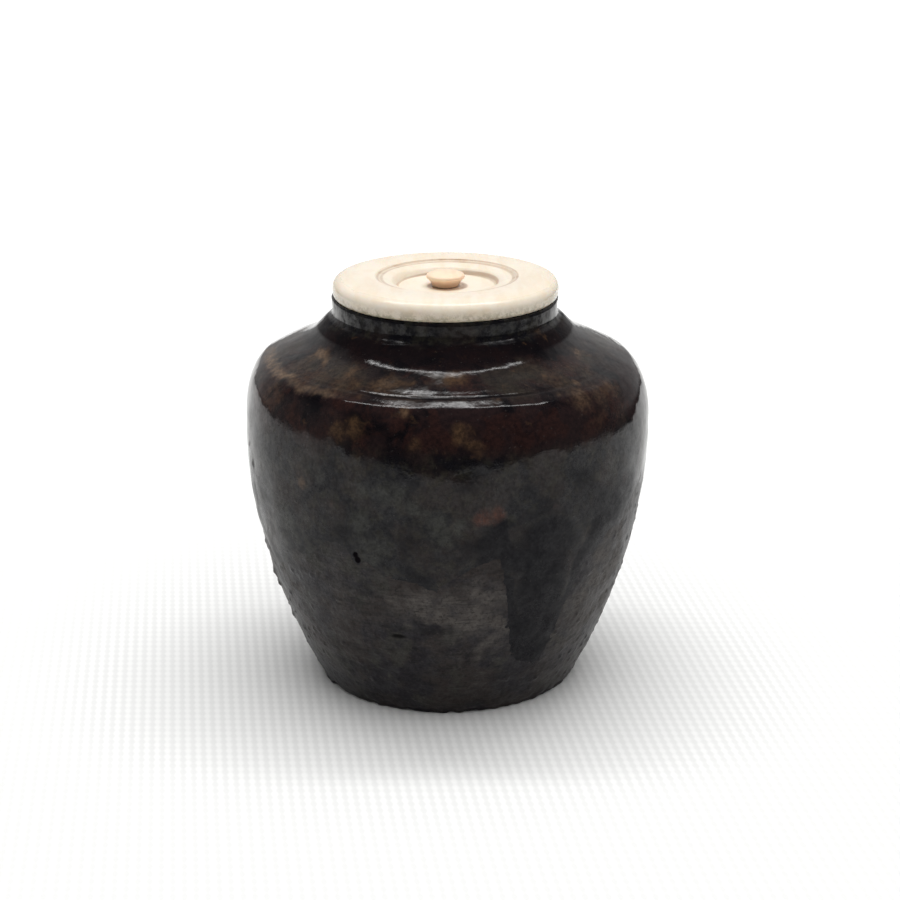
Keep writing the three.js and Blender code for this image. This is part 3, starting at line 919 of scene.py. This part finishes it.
RIM = (DISC, 75.6)
BEVEL = (19.4, 77.58)
WELL_LIP = (WELL + 0.6, WELL_EDGE)
disc_path = np.vstack([
    line(0.8, (0.0, FLANGE_BOTTOM), (FLANGE - 0.3, FLANGE_BOTTOM)),
    arc((FLANGE - 0.3, FLANGE_BOTTOM + 0.3), 0.3, -80.0, 0.0, 5),
    line(0.3, (FLANGE, FLANGE_BOTTOM + 0.4), (FLANGE, DISC_UNDER - 0.15)),
    arc((FLANGE + 0.15, DISC_UNDER - 0.15), 0.15, 180.0, 90.0, 4),
    line(0.4, (FLANGE + 0.3, DISC_UNDER), (DISC - 0.6, DISC_UNDER)),
    curve(LID_FINE, (DISC - 0.6, DISC_UNDER), (DISC - 0.15, DISC_UNDER), (DISC, 74.6), RIM),
    curve(LID_FINE, RIM, (DISC, 76.6), (20.55, 77.28), BEVEL),
    curve(LID_FINE, BEVEL, (18.6, 77.78), (17.9, DISC_TOP), (CROWN, DISC_TOP)),
    curve(0.3, (CROWN, DISC_TOP), (15.6, DISC_TOP), (14.4, 77.8), (RING_OUTER, 77.72)),
    arc((RING_OUTER, 77.60), 0.12, 90.0, 160.0, 4),
    line(0.12, (RING_OUTER - 0.16, 77.58), (RING_INNER + 0.12, RING_LOW)),
    arc((RING_INNER, RING_LOW + 0.1), 0.1, -60.0, -110.0, 4),
    spaced(bezier((RING_INNER - 0.1, RING_LOW), (11.3, 77.32), (10.7, 77.2), WELL_LIP), 0.2),
    curve(0.12, WELL_LIP, (9.8, 76.7), (9.4, 76.1), (9.25, WELL_FLOOR + 0.1)),
    line(0.3, (9.15, WELL_FLOOR), (PEG + 0.1, WELL_FLOOR + 0.02)),
    line(0.3, (PEG, WELL_FLOOR - 0.1), (PEG, WELL_FLOOR - 1.35)),
    [(0.0, WELL_FLOOR - 1.4)],
])


def turning_marks(angle, radius, height):
    """The crown dips and swells a few hundredths, as hand turning leaves it."""
    slow = 0.02 * np.sin(2 * angle + 0.7) + 0.012 * np.sin(5 * angle)
    return np.where(height > DISC_UNDER + 1.0, slow * np.clip(radius / 8.0, 0.0, 1.0) - 0.03, 0.0)


disc = turned_piece("turned_lid_disc", disc_path, turning_marks)

# Its colours: the polished top, the painted warm shade of the corners, the rim's grey stain and
# painted shade, and the painted shade along the turned lines.
IVORY_PALE = (0.87, 0.785, 0.66)
IVORY_CREAM = (0.83, 0.72, 0.57)
IVORY_WARM = (0.62, 0.42, 0.29)
IVORY_STAIN_AND_SHADE = (0.5, 0.43, 0.31)
IVORY_LINE_SHADE = (0.42, 0.26, 0.16)
# Radius and half width in millimetres and strength of each turned line darkened with painted shade:
# the ring's two lines and the band between them, the well's foot, and a painted shadow round the
# knob's foot.
SHADE_LINES = [
    (13.05, 0.19, 0.75), (12.65, 0.40, 0.35), (12.25, 0.24, 0.6), (9.3, 0.22, 1.0), (3.3, 0.45, 1.0),
]


def turned_ivory(name, pale, cream, ring_share, shade_lines=(), shaded_below=0.0):
    """Polished ivory-like material: faint turned rings, grain, and painted warm shade in the corners,
    below a given height and along given turned lines.
    """
    material, tree, shader = surface(name)
    where = coordinates(tree)
    parts, reach = from_axis(tree, where)
    level = parts["Z"]
    grain = blotches(tree, coordinates(tree, (1.0, 0.25, 1.0)), 2.4, 0.40, 0.68)
    colour = tint(tree, grain, pale, cream)
    # Painted warm shade below the given height, as on the knob's underside.
    warm = slope(tree, level, shaded_below, shaded_below - 1.2)
    colour = washed(tree, colour, IVORY_WARM, warm, 0.45)
    # Painted warm shade in the corners that the ambient-occlusion node finds.
    corner = put(tree, "ShaderNodeAmbientOcclusion", {"samples": 8}, Distance=1.6 * MM).outputs["AO"]
    deep = opposite(tree, slope(tree, corner, 0.35, 0.95))
    colour = washed(tree, colour, IVORY_WARM, deep, 0.50)
    soil = blotches(tree, where, 4.0, 0.5, 0.75)
    colour = washed(tree, colour, IVORY_WARM, soil, 0.12)
    on_top = slope(tree, level, WELL_FLOOR - 0.3, WELL_FLOOR - 0.2)
    # Painted shade along each turned line, broken up by the blotches.
    for middle, half, share in shade_lines:
        away = sums(tree, "ABSOLUTE", minus(tree, reach, middle))
        near = opposite(tree, slope(tree, away, 0.5 * half, 1.6 * half))
        near = times(tree, times(tree, near, on_top), share)
        colour = tint(tree, times(tree, near, graded(tree, soil, 0.5, 0.6)), colour, IVORY_LINE_SHADE)
    # The rim is greyer low down, painted shade with stain blotches in it, and polished by handling.
    rim = times(tree, slope(tree, reach, 20.2, 20.8), slope(tree, level, 76.4, 74.6))
    stain = graded(tree, blotches(tree, where, 1.2, 0.42, 0.60, 5.0, 0.75), 0.7, 0.3)
    colour = tint(tree, times(tree, rim, stain), colour, IVORY_STAIN_AND_SHADE)
    polish = times(tree, slope(tree, reach, 19.6, 20.3), 0.10)
    dull = minus(tree, graded(tree, soil, 0.12, 0.28), polish)
    fill(tree, shader, Base_Color=colour, Roughness=dull, Subsurface_Weight=0.2)
    fill(tree, shader, Subsurface_Radius=(1.0, 0.55, 0.3), Subsurface_Scale=0.8 * MM)
    rings = times(tree, sums(tree, "SINE", times(tree, reach, 14.0)), ring_share)
    bumped(tree, shader, plus(tree, rings, cloud(tree, where, 0.8, 2.0)), 0.02, 0.35)
    return material


pale_ivory = turned_ivory("turned_ivory_disc", IVORY_PALE, IVORY_CREAM, 0.25, SHADE_LINES)
disc.data.materials.append(pale_ivory)
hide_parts("lid_disc")
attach(disc, "lid")

# The knob
# A small mushroom-shaped knob, turned from the same stuff and glued by its peg into the middle of the
# well.
# Its colours are a warmer copy of the disc's, which paints on the warm shade that the well throws on
# its sides.
knob_low, knob_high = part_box("lid_knob")
KNOB = knob_high.x / MM
KNOB_TOP = knob_high.z / MM
KNOB_FOOT = WELL_FLOOR + 0.08
KNOB_WAIST = (3.05, 76.85)
KNOB_WIDEST = (KNOB, 77.6)
# Warmer colours that paint on the knob's warm shade.
KNOB_PALE = (0.96, 0.75, 0.56)
KNOB_CREAM = (0.93, 0.67, 0.47)
KNOB_SHADED_BELOW = 77.4
knob_path = np.vstack([
    [(0.0, knob_low.z / MM)],
    line(0.3, (PEG - 0.15, knob_low.z / MM), (PEG - 0.15, KNOB_FOOT)),
    line(0.2, (PEG, KNOB_FOOT), (2.35, KNOB_FOOT)),
    spaced(bezier((2.5, KNOB_FOOT + 0.1), (2.5, 76.1), (2.75, 76.5), KNOB_WAIST), 0.1),
    curve(0.08, KNOB_WAIST, (3.3, 77.1), (KNOB, 77.3), KNOB_WIDEST),
    curve(0.1, KNOB_WIDEST, (KNOB, 78.1), (2.6, KNOB_TOP), (0.0, KNOB_TOP)),
])
knob = turned_piece("turned_lid_knob", knob_path)
warm_ivory = turned_ivory("turned_ivory_knob", KNOB_PALE, KNOB_CREAM, 0.1, shaded_below=KNOB_SHADED_BELOW)
knob.data.materials.append(warm_ivory)
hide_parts("lid_knob")
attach(knob, "lid")

# The gold lining
# A round of thin paper laid with gold leaf and pasted under the lid, as the linings of such lids are.
# It is creased a little and rubbed down to the paper in places.
lining_low, lining_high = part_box("lid_gold_lining")
LINING = lining_high.x / MM
LINING_LOW = lining_low.z / MM
LINING_TOP = lining_high.z / MM
lining_path = np.vstack([
    line(0.25, (0.0, LINING_LOW), (LINING - 0.1, LINING_LOW)),
    [(LINING, LINING_LOW + 0.1), (LINING, LINING_TOP)],
    line(1.0, (LINING - 0.1, LINING_TOP), (0.0, LINING_TOP)),
])


def creases(angle, radius, height):
    """Slight folds in the lining's underside, none at its middle."""
    at = swept(angle, radius, 0.0 * height)
    folds = 0.05 * np.abs(ripple(at, 9.0, seed=31)) + 0.02 * np.abs(ripple(at, 3.0, seed=32))
    folds = np.clip(folds, 0.0, 0.15) * np.clip(radius, 0.0, 1.0)
    return np.where(height < LINING_LOW + 0.05, folds, 0.0)


lining = turned_piece("gold_leaf_lining", lining_path, creases)
GOLD = (0.8, 0.55, 0.2)
GOLD_DEEP = (0.58, 0.34, 0.1)
PAPER = (0.55, 0.42, 0.24)

leaf, tree, shader = surface("gold_leaf_on_paper")
where = coordinates(tree)
colour = tint(tree, blotches(tree, where, 5.0, 0.4, 0.7, roughness=0.5), GOLD, GOLD_DEEP)
worn = blotches(tree, where, 1.6, 0.66, 0.72, 5.0, 0.7)
fill(tree, shader, Base_Color=tint(tree, worn, colour, PAPER), Metallic=opposite(tree, worn))
fill(tree, shader, Roughness=graded(tree, cloud(tree, where, 3.0), 0.3, 0.2))
bumped(tree, shader, cloud(tree, where, 1.1, 4.0, 0.6), 0.06, 0.5)
lining.data.materials.append(leaf)
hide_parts("lid_gold_lining")
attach(lining, "lid")

# The studio
# A table under white ribbed cloth that ends a little in front of the caddy, a white floor that goes on
# below it for the eye, a dark room that the glaze mirrors, and a long lamp overhead.
# Sizes in metres.
TABLE_FRONT = -0.205
TABLE_BACK = 1.1
TABLE_LEFT = -0.50
TABLE_RIGHT = 0.30
FLOOR_REACH = 9.0
FLOOR_DROP = 0.0002
# The cloth, its ribs, and the painted glow that lifts it to white away from the caddy.
WHITE_CLOTH = (0.92, 0.92, 0.91)
RIB_PITCH = 1.85 * MM
RIB_SLANT = 0.12
RIB_SHADE = 0.89
LIFT = 0.30
LIFT_FROM = 0.09
LIFT_FULL = 0.36


def flat_sheet(name, left, right, front, back, level):
    mesh = bpy.data.meshes.new(name)
    corners = [(left, front, level), (right, front, level), (right, back, level), (left, back, level)]
    mesh.from_pydata(corners, [], [(0, 1, 2, 3)])
    made = placed(name, mesh)
    made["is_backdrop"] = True
    return made


def white_cloth(name):
    """White that keeps its shadows, with a painted glow for the camera and for what mirrors it, rising
    from none near the caddy to full further out.
    """
    material, tree, shader = surface(name)
    parts, reach = from_axis(tree, put(tree, "ShaderNodeTexCoord").outputs["Object"])
    slanting = plus(tree, parts["X"], times(tree, parts["Y"], RIB_SLANT))
    ribs = sums(tree, "SINE", times(tree, slanting, 2 * math.pi / RIB_PITCH))
    knots = sums(tree, "SINE", times(tree, parts["Y"], 2 * math.pi / (1.3 * RIB_PITCH)))
    weave = slope(tree, plus(tree, ribs, times(tree, knots, 0.5)), -1.0, 1.2)
    shade = tuple(RIB_SHADE * part for part in WHITE_CLOTH)
    colour = tint(tree, weave, shade, WHITE_CLOTH)
    fill(tree, shader, Base_Color=colour, Roughness=0.9, Specular_IOR_Level=0.1)
    rays = put(tree, "ShaderNodeLightPath").outputs
    seen = larger(tree, rays["Is Camera Ray"], rays["Is Glossy Ray"])
    seen = larger(tree, seen, rays["Is Transmission Ray"])
    seen = times(tree, seen, slope(tree, reach, LIFT_FROM, LIFT_FULL))
    light = put(tree, "ShaderNodeEmission", Strength=times(tree, seen, LIFT))
    both = put(tree, "ShaderNodeAddShader")
    for part, socket in zip((shader, light), both.inputs):
        feed(tree, socket, part.outputs[0])
    fill(tree, tree.nodes["Material Output"], Surface=both.outputs[0])
    return material


cloth = white_cloth("white_cloth")
tabletop = flat_sheet("tabletop", TABLE_LEFT, TABLE_RIGHT, TABLE_FRONT, TABLE_BACK, 0.0)
tabletop.data.materials.append(cloth)
ground = flat_sheet("ground", -FLOOR_REACH, FLOOR_REACH, -FLOOR_REACH, FLOOR_REACH, -FLOOR_DROP)
ground.data.materials.append(cloth)
ground.visible_glossy = False


LAMP_LENGTH = 0.68
LAMP_PLACE = Vector((0.0, 0.125, 0.65))
LAMP_AIM = Vector((0.0, 0.0, 0.06))


def overhead(name, width, power):
    """A long lamp above the table, facing down and a little forward."""
    data = bpy.data.lights.new(name, "AREA")
    data.shape = "RECTANGLE"
    data.size = LAMP_LENGTH
    data.size_y = width
    data.energy = power
    lamp = placed(name, data)
    lamp.location = LAMP_PLACE
    lamp.rotation_euler = (LAMP_AIM - LAMP_PLACE).to_track_quat("-Z", "Y").to_euler()


overhead("lamp_tube", width=0.035, power=1.05)
overhead("lamp_shade", width=0.10, power=0.60)

# Daylight from almost straight above, so wide that its shadows have no edge.
sun_data = bpy.data.lights.new("soft_daylight", "SUN")
sun_data.energy = 2.05
sun_data.angle = math.radians(72.0)
sun = placed("soft_daylight", sun_data)
sun.rotation_euler = (math.radians(3.0), math.radians(5.0), 0.0)
sun.visible_glossy = False

# The room's air is white for the camera and plain for the light it sends. Mirrored in the glaze it is
# a dark room with a paler back wall.
AMBIENT = 0.28
BACK_WALL = 0.46
LEFT_WALL = 0.20
RIGHT_WALL = 0.08
DARK_ROOM = 0.015
world = bpy.data.worlds.new("studio_air")
bpy.context.scene.world = world
world.use_nodes = True
tree = world.node_tree
rays = put(tree, "ShaderNodeLightPath").outputs
outlook = put(tree, "ShaderNodeTexCoord").outputs["Generated"]
way = put(tree, "ShaderNodeSeparateXYZ", Vector=outlook).outputs
back_wall = times(tree, slope(tree, way["Y"], 0.22, 0.75), slope(tree, way["Z"], -0.12, 0.0))
back_wall = times(tree, back_wall, BACK_WALL)
left_wall = times(tree, slope(tree, way["X"], -0.75, -0.97), LEFT_WALL)
right_wall = times(tree, slope(tree, way["X"], 0.75, 0.97), RIGHT_WALL)
mirrored = plus(tree, plus(tree, back_wall, plus(tree, left_wall, right_wall)), DARK_ROOM)
open_air = larger(tree, rays["Is Camera Ray"], rays["Is Transmission Ray"])
plain = graded(tree, open_air, 1.0 - AMBIENT, AMBIENT)
strength = put(tree, "ShaderNodeMix", Factor=rays["Is Glossy Ray"], A=plain, B=mirrored)
fill(tree, tree.nodes["Background"], Strength=strength.outputs[0], Color=(1.0, 1.0, 1.0))

low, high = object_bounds()
